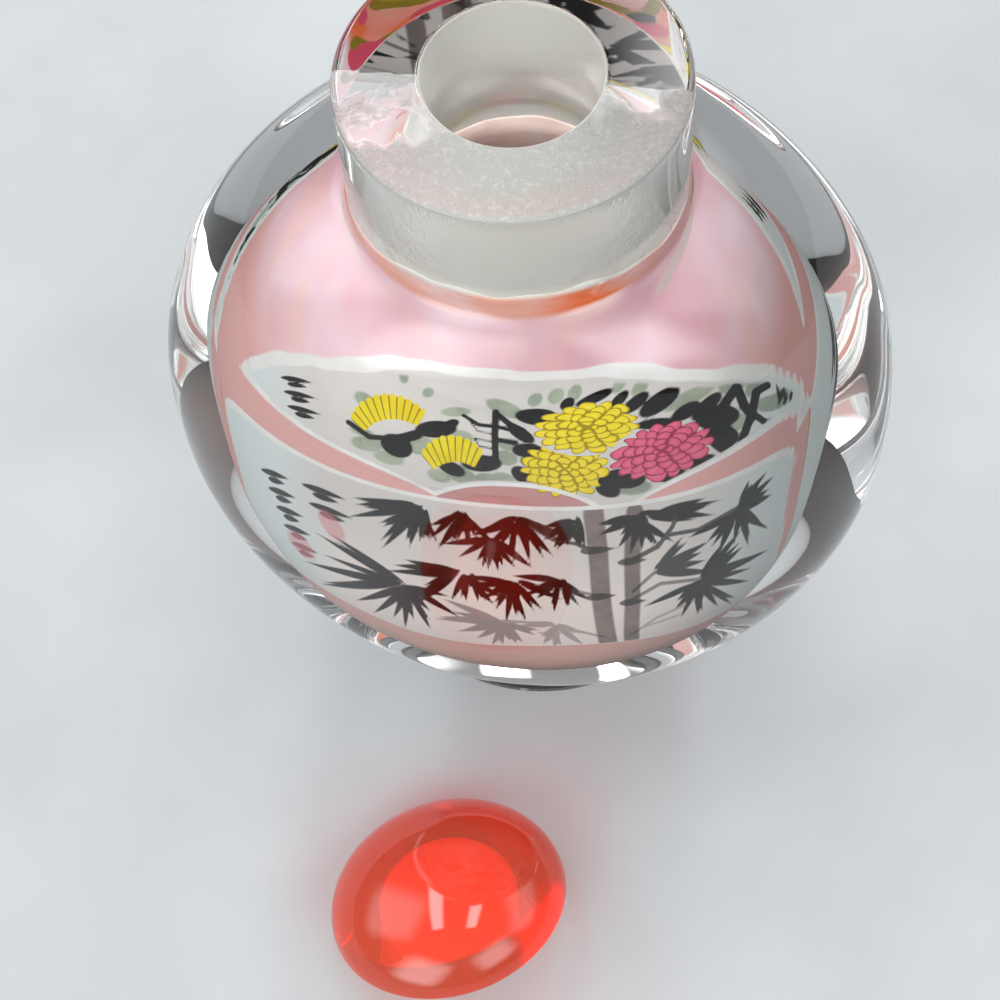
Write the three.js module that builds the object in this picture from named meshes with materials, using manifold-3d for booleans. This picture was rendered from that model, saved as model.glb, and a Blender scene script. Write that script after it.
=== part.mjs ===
// Inside-painted snuff bottle: a thick clear glass flask with an open neck, and its red glass
// stopper lying on the surface in front of it. Millimetres, +Z up, front of the bottle facing -Y.
// The origin is the centre of the underside of the foot.
import * as THREE from 'three';
import { mergeVertices } from 'three/addons/utils/BufferGeometryUtils.js';
import Module from 'manifold-3d';

const wasm = await Module();
wasm.setup();

// ---- Driving dimensions -------------------------------------------------------------------
const TOTAL_HEIGHT = 63.6;          // underside of the foot to the rim, without the stopper
const NECK_RADIUS = 10.75;
const BORE_RADIUS = 5.4;
const RIM_ROUNDING = 0.5;           // eased outer edge of the ground rim
const MOUTH_ROUNDING = 0.3;         // eased inner edge of the ground rim

// A flask is widest at its centre height and closes above and below it. Each section is a
// superellipse: `front` shapes the outline seen from the front, `side` the outline seen from
// the side and `plan` the outline seen from above.
const BODY = {
  centre: 29.4, halfHeight: 25.95, halfWidth: 25.7, halfDepth: 16.1,
  front: 2.34, side: 4.4, plan: 2.26,
};
const CAVITY = {
  centre: 27.8, halfHeight: 20.5, halfWidth: 15.7, halfDepth: 12.35,
  front: 2.6, side: 3.0, plan: 2.05,
};
const CAVITY_OFFSET = -0.5;         // the hollow is ground out by hand, a little off the middle

const FOOT_HALF_WIDTH = 12.6;
const FOOT_HALF_DEPTH = 11.4;
const FOOT_ROUNDING = 0.6;

const BORE_FOOT_RADIUS = 6.2;       // the bore widens a little on its way down
const THROAT_TOP = 53.8;            // below it the throat opens into the cavity
const BORE_FLARE = 5.5;             // height over which the bore widens
const THROAT_BOTTOM = 45.0;
const THROAT_RADIUS = 9.5;

const DOME_RADIUS = 9.1;            // the stopper's red glass cabochon
const DOME_HEIGHT = 5.7;
const DOME_ROUNDING = 0.4;
const PLUG_RADIUS = 4.4;            // the short plug under it, with a worn round end
const PLUG_STRAIGHT = 1.2;
const GLUE_GAP = 0.3;               // between the dome's flat underside and the plug
const STOPPER_X = -3.75;            // where the middle of the dome's underside lies
const STOPPER_Y = -30.8;
const STOPPER_TILT = THREE.MathUtils.degToRad(23.4);
const STOPPER_LEAN = THREE.MathUtils.degToRad(120.8);   // the way the dome's axis leans, from +X

// ---- Facets -------------------------------------------------------------------------------
const AROUND = 48;
const BODY_ROWS = 22;
const CAVITY_ROWS = 14;
const ARC_STEPS = 3;                // steps in a small rounded edge
const DOME_ROWS = 9;

// ---- Helpers ------------------------------------------------------------------------------
const signedPower = (value, power) => Math.sign(value) * Math.abs(value) ** power;

// Half-breadth of a superellipse at the share `s` (-1 to 1) of its half-height.
const breadth = (half, s, exponent) => half * (1 - Math.abs(s) ** exponent) ** (1 / exponent);

// One closed geometry through level rings of points, from the lowest up, closed by a point
// below and a point above.
function loft(bottom, rings, top) {
  const positions = [...bottom, ...rings.flat(2), ...top];
  const count = rings[0].length;
  const last = 1 + rings.length * count;
  const at = (row, column) => 1 + row * count + (column % count);
  const index = [];
  for (let column = 0; column < count; column++) {
    index.push(0, at(0, column + 1), at(0, column));
    for (let row = 0; row + 1 < rings.length; row++) {
      index.push(at(row, column), at(row, column + 1), at(row + 1, column + 1));
      index.push(at(row, column), at(row + 1, column + 1), at(row + 1, column));
    }
    index.push(last, at(rings.length - 1, column), at(rings.length - 1, column + 1));
  }
  const geometry = new THREE.BufferGeometry();
  geometry.setAttribute('position', new THREE.Float32BufferAttribute(positions, 3));
  geometry.setIndex(index);
  return geometry;
}

// A flask from its named sizes, with its rings closer together towards its ends.
function flask(shape, rows) {
  const rings = [];
  for (let row = 1; row < rows; row++) {
    const s = -Math.cos((Math.PI * row) / rows);
    const width = breadth(shape.halfWidth, s, shape.front);
    const depth = breadth(shape.halfDepth, s, shape.side);
    rings.push(ring(width, depth, shape.centre + shape.halfHeight * s, shape.plan));
  }
  const low = [0, 0, shape.centre - shape.halfHeight];
  const high = [0, 0, shape.centre + shape.halfHeight];
  return loft(low, rings, high);
}

function ring(width, depth, height, exponent) {
  return Array.from({ length: AROUND }, (_, step) => {
    const angle = (2 * Math.PI * step) / AROUND;
    return [
      width * signedPower(Math.cos(angle), 2 / exponent),
      depth * signedPower(Math.sin(angle), 2 / exponent),
      height,
    ];
  });
}

// A turned piece about +Z from [radius, height] pairs that run up its outside.
function turned(profile) {
  const points = profile.map(([radius, height]) => new THREE.Vector2(radius, height));
  return new THREE.LatheGeometry(points, AROUND).rotateX(Math.PI / 2);
}

// Points of a rounded edge about (radius, height), between two angles in degrees.
function arc(radius, height, rounding, from, to) {
  return Array.from({ length: ARC_STEPS + 1 }, (_, step) => {
    const angle = THREE.MathUtils.degToRad(from + ((to - from) * step) / ARC_STEPS);
    return [radius + rounding * Math.cos(angle), height + rounding * Math.sin(angle)];
  });
}

function toSolid(geometry) {
  const bare = geometry.clone();
  bare.deleteAttribute('normal');
  bare.deleteAttribute('uv');
  const merged = mergeVertices(bare, 1e-4);
  const mesh = new wasm.Mesh({
    numProp: 3,
    vertProperties: merged.attributes.position.array,
    triVerts: new Uint32Array(merged.index.array),
  });
  return new wasm.Manifold(mesh);
}

function toGeometry(solid) {
  const mesh = solid.getMesh();
  const geometry = new THREE.BufferGeometry();
  geometry.setAttribute('position', new THREE.BufferAttribute(mesh.vertProperties, 3));
  geometry.setIndex(new THREE.BufferAttribute(mesh.triVerts, 1));
  geometry.computeVertexNormals();
  return geometry;
}

// ---- Bottle -------------------------------------------------------------------------------
function neck() {
  const edge = arc(NECK_RADIUS - RIM_ROUNDING, TOTAL_HEIGHT - RIM_ROUNDING, RIM_ROUNDING, 0, 90);
  const start = BODY.centre + BODY.halfHeight / 4;
  return turned([[0, start], [NECK_RADIUS, start], ...edge, [0, TOTAL_HEIGHT]]);
}

function foot() {
  const edge = arc(FOOT_HALF_WIDTH - FOOT_ROUNDING, FOOT_ROUNDING, FOOT_ROUNDING, -90, 0);
  const top = CAVITY.centre - CAVITY.halfHeight;
  const round = turned([[0, 0], ...edge, [FOOT_HALF_WIDTH, top], [0, top]]);
  return round.scale(1, FOOT_HALF_DEPTH / FOOT_HALF_WIDTH, 1);
}

// The bore down from the mouth, and the throat that widens it into the cavity.
function bore() {
  const mouth = BORE_RADIUS + MOUTH_ROUNDING;
  const edge = arc(mouth, TOTAL_HEIGHT - MOUTH_ROUNDING, MOUTH_ROUNDING, 180, 90);
  const inside = CAVITY.centre + CAVITY.halfHeight / 2;
  const past = TOTAL_HEIGHT + 1;
  return turned([
    [0, inside], [THROAT_RADIUS, inside], [THROAT_RADIUS, THROAT_BOTTOM],
    [BORE_FOOT_RADIUS, THROAT_TOP], [BORE_RADIUS, THROAT_TOP + BORE_FLARE], ...edge,
    [mouth, past], [0, past],
  ]);
}

function bottle() {
  const outside = toSolid(flask(BODY, BODY_ROWS)).add(toSolid(neck())).add(toSolid(foot()));
  const cavity = toSolid(flask(CAVITY, CAVITY_ROWS).translate(CAVITY_OFFSET, 0, 0));
  const hollow = cavity.add(toSolid(bore()));
  return toGeometry(outside.subtract(hollow));
}

// ---- Stopper, made upright with the middle of the dome's flat underside at its own origin --
function dome() {
  const edge = arc(DOME_RADIUS - DOME_ROUNDING, DOME_ROUNDING, DOME_ROUNDING, -90, 0);
  const crown = DOME_HEIGHT - DOME_ROUNDING;
  const curve = Array.from({ length: DOME_ROWS }, (_, row) => {
    const angle = (Math.PI / 2) * ((row + 1) / DOME_ROWS);
    const radius = row + 1 === DOME_ROWS ? 0 : DOME_RADIUS * Math.cos(angle);
    return [radius, DOME_ROUNDING + crown * Math.sin(angle)];
  });
  return turned([[0, 0], ...edge, ...curve]);
}

// How far the tilted stopper's middle is above the surface: its dome rests on its low edge.
function restingHeight() {
  const reach = (DOME_RADIUS - DOME_ROUNDING) * Math.sin(STOPPER_TILT);
  return reach + DOME_ROUNDING * (1 - Math.cos(STOPPER_TILT));
}

// Depth of the plug's round end, so that the plug touches the surface at the same time.
function plugEndDepth() {
  const end = restingHeight() - (GLUE_GAP + PLUG_STRAIGHT) * Math.cos(STOPPER_TILT);
  const across = PLUG_RADIUS * Math.sin(STOPPER_TILT);
  return Math.sqrt(end ** 2 - across ** 2) / Math.cos(STOPPER_TILT);
}

function plug() {
  const rows = 6;
  const depth = plugEndDepth();
  const straight = -GLUE_GAP - PLUG_STRAIGHT;
  const end = Array.from({ length: rows }, (_, row) => {
    const angle = (Math.PI / 2) * (row / rows);
    const radius = row === 0 ? 0 : PLUG_RADIUS * Math.sin(angle);
    return [radius, straight - depth * Math.cos(angle)];
  });
  return turned([...end, [PLUG_RADIUS, straight], [PLUG_RADIUS, -GLUE_GAP], [0, -GLUE_GAP]]);
}

// ---- Assembly -----------------------------------------------------------------------------
function named(name, geometry, material) {
  const mesh = new THREE.Mesh(geometry, material);
  mesh.name = name;
  return mesh;
}

const clearGlass = new THREE.MeshStandardMaterial({
  color: '#e9dcd8', roughness: 0.06, metalness: 0, transparent: true, opacity: 0.45,
});
const redGlass = new THREE.MeshStandardMaterial({
  color: '#c40a0a', roughness: 0.05, metalness: 0, transparent: true, opacity: 0.8,
});
const cork = new THREE.MeshStandardMaterial({ color: '#d8bd92', roughness: 0.85, metalness: 0 });

const stopper = new THREE.Group();
stopper.position.set(STOPPER_X, STOPPER_Y, restingHeight());
stopper.rotation.set(0, STOPPER_TILT, STOPPER_LEAN, 'ZYX');
stopper.add(named('stopper_dome', dome(), redGlass));
stopper.add(named('stopper_plug', plug(), cork));

const snuffBottle = new THREE.Group();
snuffBottle.add(named('bottle', bottle(), clearGlass));
snuffBottle.add(stopper);

export default snuffBottle;
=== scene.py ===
"""Looks of the inside-painted snuff bottle: clear glass around a painted lining, with its red glass
stopper lying in front of it. Lengths are in millimetres in this file and in metres in Blender."""

import math
import random

import bpy
import numpy as np
from mathutils import Matrix, Vector


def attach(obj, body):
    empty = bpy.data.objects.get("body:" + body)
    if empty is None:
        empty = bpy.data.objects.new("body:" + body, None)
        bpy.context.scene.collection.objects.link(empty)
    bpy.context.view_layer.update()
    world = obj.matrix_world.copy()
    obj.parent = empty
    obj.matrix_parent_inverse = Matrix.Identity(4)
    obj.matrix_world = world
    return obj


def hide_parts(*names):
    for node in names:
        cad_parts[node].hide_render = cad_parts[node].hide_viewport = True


MM = 0.001

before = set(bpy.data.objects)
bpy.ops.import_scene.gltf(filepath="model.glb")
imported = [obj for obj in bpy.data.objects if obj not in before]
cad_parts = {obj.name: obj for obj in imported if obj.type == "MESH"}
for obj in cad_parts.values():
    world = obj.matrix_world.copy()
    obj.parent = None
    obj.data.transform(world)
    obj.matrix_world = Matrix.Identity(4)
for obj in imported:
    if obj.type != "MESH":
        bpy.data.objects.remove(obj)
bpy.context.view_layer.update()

# ---- Sizes of the construction -----------------------------------------------
TOTAL_HEIGHT = 63.6
NECK_RADIUS = 10.75
BORE_RADIUS = 5.4
RIM_ROUNDING = 0.5
MOUTH_ROUNDING = 0.3
BODY = dict(
    centre=29.4, half_height=25.95, half_width=25.7, half_depth=16.1, front=2.34, side=4.4, plan=2.26)
CAVITY = dict(
    centre=27.8, half_height=20.5, half_width=15.7, half_depth=12.35, front=2.6, side=3.0, plan=2.05)
FOOT_HALF_WIDTH = 12.6
FOOT_HALF_DEPTH = 11.4
FOOT_ROUNDING = 0.6
CAVITY_OFFSET = -0.5
BORE_FOOT_RADIUS = 6.2
THROAT_TOP = 53.8
BORE_FLARE = 5.5
THROAT_BOTTOM = 45.0
THROAT_RADIUS = 9.5
DOME_RADIUS = 9.1
DOME_HEIGHT = 5.7
DOME_ROUNDING = 0.4
PLUG_RADIUS = 4.4
PLUG_STRAIGHT = 1.2
GLUE_GAP = 0.3
STOPPER_PLACE = (-3.75, -30.8)
STOPPER_TILT = math.radians(23.4)
STOPPER_LEAN = math.radians(120.8)

# ---- Sizes that only the looks need ------------------------------------------
JUNCTION_BLEND = 0.35      # fillet where the neck and the foot meet the body
THROAT_BLEND = 0.8         # fillet where the throat opens into the cavity
FOOT_RECESS = 0.25         # depth of the shallow dish in the underside
PAINT_OUTSIDE = 0.05       # the paint lies against the glass, so its face is set just into it
PAINT_INSIDE = 0.12        # and the rest of its thickness is on the hollow's side
PAINT_TOP = (53.4, 50.4)   # where the paint ends in the throat, at the front and at the back
DISH_MARGIN = 1.4          # flat ring round the dish
FOOT_END = 9.0             # the foot is inside the body above it
CLEAR, GROUND, RIM = 0, 1, 2    # the bottle's material slots
GLASS_COLUMNS = 208
DOME_COLUMNS = 120
PLUG_COLUMNS = 72
FULL_TURN = 2 * math.pi


# ---- Meshes ------------------------------------------------------------------
def srgb(code):
    """Linear colour of a #rrggbb code."""
    parts = [int(code[at:at + 2], 16) / 255 for at in (1, 3, 5)]
    linear = [part / 12.92 if part <= 0.04045 else ((part + 0.055) / 1.055) ** 2.4 for part in parts]
    return (*linear, 1.0)


def smooth_max(first, second, blend):
    return 0.5 * (first + second + np.sqrt((first - second) ** 2 + blend ** 2))


def section_radius(width, depth, exponent, angles):
    """Radius of a superellipse section in each direction."""
    least = 1e-6
    across = np.abs(np.cos(angles)) / np.maximum(width, least)
    along = np.abs(np.sin(angles)) / np.maximum(depth, least)
    return (across ** exponent + along ** exponent) ** (-1 / exponent)


def breadth(share, exponent):
    """Half-breadth of a superellipse at a share of its half-height, both as shares."""
    return (1 - share ** exponent) ** (1 / exponent)


def flask_radius(shape, heights, angles):
    share = np.clip(np.abs(heights - shape["centre"]) / shape["half_height"], 0, 1)
    width = shape["half_width"] * breadth(share, shape["front"])
    depth = shape["half_depth"] * breadth(share, shape["side"])
    return section_radius(width, depth, shape["plan"], angles)


def even_angles(shape, count):
    """Directions whose points are spread evenly round a section of the shape."""
    turn = np.arange(count) * FULL_TURN / count
    return np.arctan2(shape["half_depth"] * np.sin(turn), shape["half_width"] * np.cos(turn))


def rings_at(radii, heights, angles):
    """Rows of points from a radius for each height and direction."""
    level = np.broadcast_to(heights, radii.shape)
    return np.stack([radii * np.cos(angles), radii * np.sin(angles), level], axis=-1)


def round_rings(profile, angles, squeeze=1.0):
    """Rings of a turned profile of (radius, height) pairs, with its depth squeezed."""
    rings = [[(r * math.cos(a), squeeze * r * math.sin(a), z) for a in angles] for r, z in profile]
    return np.array(rings)


def arc(radius, height, rounding, start, end, steps=8):
    turns = np.radians(np.linspace(start, end, steps + 1))
    return [(radius + rounding * math.cos(turn), height + rounding * math.sin(turn)) for turn in turns]


def closed_loft(name, rings, first_pole, last_pole, material_of_row=lambda row: 0):
    """One closed mesh through rings of points, with a pole at each end."""
    rows, columns = rings.shape[:2]
    points = np.vstack([[first_pole], rings.reshape(-1, 3), [last_pole]]) * MM
    last = len(points) - 1
    faces, slots = [], []
    for column in range(columns):
        after = (column + 1) % columns
        faces.append((0, 1 + after, 1 + column))
        slots.append(0)
        faces.append((1 + (rows - 1) * columns + column, 1 + (rows - 1) * columns + after, last))
        slots.append(material_of_row(rows - 2))
    for row in range(rows - 1):
        base = 1 + row * columns
        slot = material_of_row(row)
        for column in range(columns):
            after = (column + 1) % columns
            faces.append((base + column, base + after, base + columns + after, base + columns + column))
            slots.append(slot)
    mesh = bpy.data.meshes.new(name)
    mesh.from_pydata(points.tolist(), [], faces)
    mesh.polygons.foreach_set("material_index", slots)
    mesh.polygons.foreach_set("use_smooth", [True] * len(faces))
    mesh.update()
    return new_object(name, mesh)


def new_object(name, data):
    made = bpy.data.objects.new(name, data)
    bpy.context.scene.collection.objects.link(made)
    return made


def grid_normals(rings):
    """Unit normals of rows of points that run upwards, pointing away from the axis."""
    upward = np.gradient(rings, axis=0)
    around = np.roll(rings, -1, axis=1) - np.roll(rings, 1, axis=1)
    normals = np.cross(around, upward)
    return normals / np.linalg.norm(normals, axis=-1, keepdims=True)


# ---- Shape of the bottle -----------------------------------------------------
def outer_heights():
    """Levels up the outside: close together where the outline turns quickly."""
    foot_to, neck_from, gap = 6, 52.5, 0.1
    turn = np.linspace(0, math.pi, 150)
    body = BODY["centre"] - BODY["half_height"] * np.cos(turn)
    foot = np.linspace(FOOT_ROUNDING, foot_to, 16)
    neck = np.linspace(neck_from, TOTAL_HEIGHT - RIM_ROUNDING, 34)
    levels = np.concatenate([foot, body[(body > foot_to + gap) & (body < neck_from - gap)], neck])
    return np.unique(np.round(levels, 4))[:, None]


def outer_radii(heights, angles):
    body = flask_radius(BODY, heights, angles)
    neck = np.where(heights > BODY["centre"] + BODY["half_height"] / 2, NECK_RADIUS, 0)
    foot_here = heights < FOOT_END
    foot = section_radius(
        np.where(foot_here, FOOT_HALF_WIDTH, 0), np.where(foot_here, FOOT_HALF_DEPTH, 0), 2, angles)
    joined = smooth_max(body, foot, JUNCTION_BLEND)
    return smooth_max(joined, np.broadcast_to(neck, body.shape), JUNCTION_BLEND)


def throat_radius(heights):
    """The bore, which widens a little, then the throat's cone, then a straight stretch into the cavity."""
    inside = CAVITY["centre"] + CAVITY["half_height"] / 2
    radius = np.interp(
        heights, [THROAT_BOTTOM, THROAT_TOP, THROAT_TOP + BORE_FLARE],
        [THROAT_RADIUS, BORE_FOOT_RADIUS, BORE_RADIUS])
    return np.where(heights > inside, radius, 0)


def inner_wall(heights, angles):
    """Rows of points on the inner wall. The cavity is a little off the bottle's axis, its throat isn't."""
    cavity = flask_radius(CAVITY, heights, angles)
    throat = np.broadcast_to(throat_radius(heights), cavity.shape)
    blend = np.clip((THROAT_TOP - heights) / 3, 0.02, 1) * THROAT_BLEND
    wall = rings_at(smooth_max(cavity, throat, blend), heights, angles)
    low, high = CAVITY["centre"], THROAT_TOP
    share = np.clip((heights - low) / (high - low), 0, 1)
    wall[..., 0] += CAVITY_OFFSET * (1 - share ** 2 * (3 - 2 * share))
    return wall


def cavity_floor_levels(top, count):
    """Levels from just above the cavity's floor up to `top`, closer together at the floor."""
    reach = math.acos((CAVITY["centre"] - top) / CAVITY["half_height"])
    turn = np.linspace(0, reach, count + 1)[1:]
    return CAVITY["centre"] - CAVITY["half_height"] * np.cos(turn)


def make_bottle():
    angles = even_angles(BODY, GLASS_COLUMNS)
    squeeze = FOOT_HALF_DEPTH / FOOT_HALF_WIDTH
    dish = FOOT_HALF_WIDTH - DISH_MARGIN
    shares = np.linspace(0.1, 1, 12)
    underside = [(share * dish, FOOT_RECESS * (1 + math.cos(math.pi * share)) / 2) for share in shares]
    underside += arc(FOOT_HALF_WIDTH - FOOT_ROUNDING, FOOT_ROUNDING, FOOT_ROUNDING, -90, -10)
    foot_angles = np.arctan2(np.sin(angles) / squeeze, np.cos(angles))
    heights = outer_heights()
    outside = rings_at(outer_radii(heights, angles), heights, angles)
    mouth = BORE_RADIUS + MOUTH_ROUNDING
    rim = arc(NECK_RADIUS - RIM_ROUNDING, TOTAL_HEIGHT - RIM_ROUNDING, RIM_ROUNDING, 10, 90)
    rim += [(radius, TOTAL_HEIGHT) for radius in (10.2, 9.0, 7.0, 5.8)]
    rim += arc(mouth, TOTAL_HEIGHT - MOUTH_ROUNDING, MOUTH_ROUNDING, 90, 180)
    bore_levels = np.linspace(TOTAL_HEIGHT - MOUTH_ROUNDING - 0.3, THROAT_TOP + 0.1, 22)
    below = np.concatenate([
        np.linspace(THROAT_TOP, 43.5, 30), np.linspace(43, 14, 46), cavity_floor_levels(13.5, 22)[::-1]])
    levels = np.concatenate([bore_levels, below])
    inside = inner_wall(levels[:, None], angles)
    parts = [round_rings(underside, foot_angles, squeeze), outside, round_rings(rim, angles), inside]
    rings = np.concatenate(parts)
    edge_rows, mouth_rows, throat_rows = 2, 7, 12
    rim_from = len(underside) + len(heights) + edge_rows
    ground_from = len(rings) - len(levels) - mouth_rows
    ground_to = len(rings) - len(below) + throat_rows

    def glass_of_row(row):
        if row < rim_from or row >= ground_to:
            return CLEAR
        return RIM if row < ground_from else GROUND

    bottle = closed_loft(
        "bottle_glass", rings, (0, 0, FOOT_RECESS),
        (CAVITY_OFFSET, 0, CAVITY["centre"] - CAVITY["half_height"]), glass_of_row)
    bottle.data.materials.append(clear_glass())
    bottle.data.materials.append(ground_glass())
    bottle.data.materials.append(rim_glass())
    leave_back_of_rim_clear(bottle.data)
    bottle.visible_shadow = False
    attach(bottle, "root")
    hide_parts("bottle")
    return bottle


def leave_back_of_rim_clear(mesh):
    """The rim is frosted in front of its middle alone; the milky white of that front half is a painted
    reflection of the lights.
    """
    frosted_to = -0.6
    for face in mesh.polygons:
        if face.material_index == RIM and face.center.y > frosted_to * MM:
            face.material_index = CLEAR


# ---- The picture, drawn as distances in millimetres: negative inside a mark --
def crown(x, z, middle, base, rise, half_width, exponent):
    """Below zero under an arched line that stands on `base`."""
    across = (np.abs(x - middle) / half_width) ** exponent
    upward = (np.maximum(z - base, 0) / rise) ** exponent
    return (across + upward) ** (1 / exponent) - 1


def crown_height(x, middle, base, rise, half_width, exponent):
    share = np.clip(np.abs(x - middle) / half_width, 0, 1)
    return base + rise * breadth(share, exponent)


# Upper edges of the panels, as crowns: middle, base, rise, half-width, exponent.
FLOWER_PANEL = (0.0, 33.0, 13.7, 21.4, 1.5)
BAMBOO_PANEL = (-1.0, 31.0, 6.0, 21.3, 2.0)
BAMBOO_FOOT = 15.5
ARCH = (0.4, 36.6, 2.85, 5.6, 2.4)
ARCH_REACH = (-4.4, 5.8)


def over_flower_panel(x, z):
    wobble = 0.004 * np.sin(0.6 * x + 1) + 0.0015 * np.sin(2.1 * x)
    return crown(x, z, *FLOWER_PANEL) + wobble


def over_bamboo_panel(x, z):
    return crown(x, z, *BAMBOO_PANEL)


def over_flower_panel_foot(x, z):
    """The flower panel's lower edge leaves the bamboo panel's upper edge left and right of the arch."""
    left = parting(-x - 3.8, 2.6, 2.8)
    right = parting(x - 8.0, 2.3, 2.6)
    return z - crown_height(x, *BAMBOO_PANEL) - left - right


def parting(past, rise, length):
    """A gap that opens past its start and comes close to its full width after a few lengths."""
    return rise * (1 - np.exp(-np.maximum(past, 0) / length))


def over_arch(x, z):
    """Small arch between the two panels, under the flowers."""
    middle, base, rise, half_width, exponent = ARCH
    share = np.clip(np.abs(x - middle) / half_width, 0, 1)
    return z - base - rise * (1 - share ** exponent)


def over_bamboo_panel_foot(x, z):
    return z - BAMBOO_FOOT - 0.5 * np.cos(0.32 * (x - 4))


def reach_from(x, z, level):
    """Distance to the line where `level` is zero, negative where it is negative."""
    step, least_slope = 0.02, 0.02
    slope_x = (level(x + step, z) - level(x - step, z)) / (2 * step)
    slope_z = (level(x, z + step) - level(x, z - step)) / (2 * step)
    return level(x, z) / np.maximum(np.hypot(slope_x, slope_z), least_slope)


def along_and_across(x, z, place, angle):
    turn = math.radians(angle)
    right, up = x - place[0], z - place[1]
    return right * math.cos(turn) + up * math.sin(turn), up * math.cos(turn) - right * math.sin(turn)


def leaf(x, z, place, angle, length, width, fullness=0.7):
    """Distance to a leaf that starts at `place` and narrows to its tip."""
    along, across = along_and_across(x, z, place, angle)
    across = np.abs(across)
    share = np.clip(along / length, 0, 1)
    edge = across - 0.5 * width * np.sin(math.pi * share ** fullness)
    past = np.maximum(np.maximum(-along, along - length), 0)
    return np.where(past > 0, np.hypot(past, across), edge)


def blob(x, z, place, angle, length, width):
    """Distance to an oval dab."""
    along, across = along_and_across(x, z, place, angle)
    return (np.hypot(along / (length / 2), across / (width / 2)) - 1) * width / 2


def line(x, z, start, end, width):
    """Distance to a brush line with round ends."""
    run = np.subtract(end, start)
    share = np.clip(((x - start[0]) * run[0] + (z - start[1]) * run[1]) / (run @ run), 0, 1)
    return np.hypot(x - start[0] - share * run[0], z - start[1] - share * run[1]) - width / 2


def path(x, z, places, width):
    return np.minimum.reduce([line(x, z, a, b, width) for a, b in zip(places, places[1:])])


def drawn(reach, height):
    """Place in the picture as its painter saw it, from above the front: rows sag towards the sides, and
    the wall is foreshortened at both sides and low down, where it is seen at a slant."""
    sag, middle, bend = 0.025, 1.5, 2187
    slant, foot, opening, shoulder = 0.37, 23.5, 0.325, 43
    level = height + sag * reach ** 2
    off_middle = reach - middle
    right = 1.03 * (off_middle - off_middle ** 3 / bend)
    up = slant * (level - foot) + 1.85 * np.exp(opening * (level - shoulder))
    return right, up


class Layers:
    """The picture's marks as one distance for each kind of paint, at every point of the wall."""

    KINDS = ("panel", "outline", "arch", "ink", "wash", "culm", "striped", "seal", "bloom")
    FAR = 5.0

    def __init__(self, reach, height):
        self.x, self.z = reach, height
        self.right, self.up = drawn(reach, height)
        self.distance = {kind: np.full(reach.shape, self.FAR) for kind in self.KINDS}
        self.tone = np.ones(reach.shape)
        self.stripe = np.zeros(reach.shape)
        self.limit = None

    def add(self, kind, mark, tone=None):
        if self.limit is not None:
            mark = np.maximum(mark, self.limit)
        if tone is not None:
            self.tone = np.where(mark < self.distance[kind], tone, self.tone)
        self.distance[kind] = np.minimum(self.distance[kind], mark)

    def mark(self, kind, shape, place, *sizes, tone=None):
        """Draws a shape at a place on the wall, with its sizes and angles as drawn."""
        self.add(kind, shape(self.right, self.up, drawn(*place), *sizes), tone)

    def trace(self, kind, places, width, tone=None):
        """Draws a brush line through places on the wall."""
        self.add(kind, path(self.right, self.up, [drawn(*place) for place in places], width), tone)


def add_panels(layers):
    """The two pale panels with their white outlines. Gives the limits of what is painted in them."""
    x, z = layers.x, layers.z
    top = reach_from(x, z, over_flower_panel)
    foot = reach_from(x, z, over_flower_panel_foot)
    arch = reach_from(x, z, over_arch)
    low_top = reach_from(x, z, over_bamboo_panel)
    by_arch = (x > ARCH_REACH[0]) & (x < ARCH_REACH[1])
    under = np.where(by_arch, np.maximum(-foot, -arch), -foot)
    upper = np.maximum(top, under)
    lower = np.maximum(low_top, -reach_from(x, z, over_bamboo_panel_foot))
    layers.add("panel", np.minimum(upper, lower))
    layers.add("arch", np.where(by_arch, np.maximum(arch, -low_top), Layers.FAR))
    upper_half_line = np.where(top > under, 0.2 + 0.03 * np.sin(0.8 * x + 2), 0.19)
    lower_half_line = 0.23
    layers.add("outline", np.abs(upper) - upper_half_line)
    layers.add("outline", np.abs(low_top) - lower_half_line)
    upper_margin, lower_margin = 0.35, 0.1
    return upper + upper_margin, lower + lower_margin


def add_spray(layers, dice, place, first, last, count, length, tone=1.0):
    """A spray of bamboo leaves that spreads from one point between two directions, shorter downwards."""
    for number in range(count):
        angle = first + (last - first) * number / (count - 1) + dice.uniform(-7, 7)
        reach = length * dice.uniform(0.7, 1.15) * (1 - 0.4 * abs(math.sin(math.radians(angle))))
        start = (place[0] + dice.uniform(-0.3, 0.3), place[1] + dice.uniform(-0.4, 0.4))
        layers.mark("ink", leaf, start, angle, reach, dice.uniform(0.34, 0.5), tone=tone)


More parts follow.
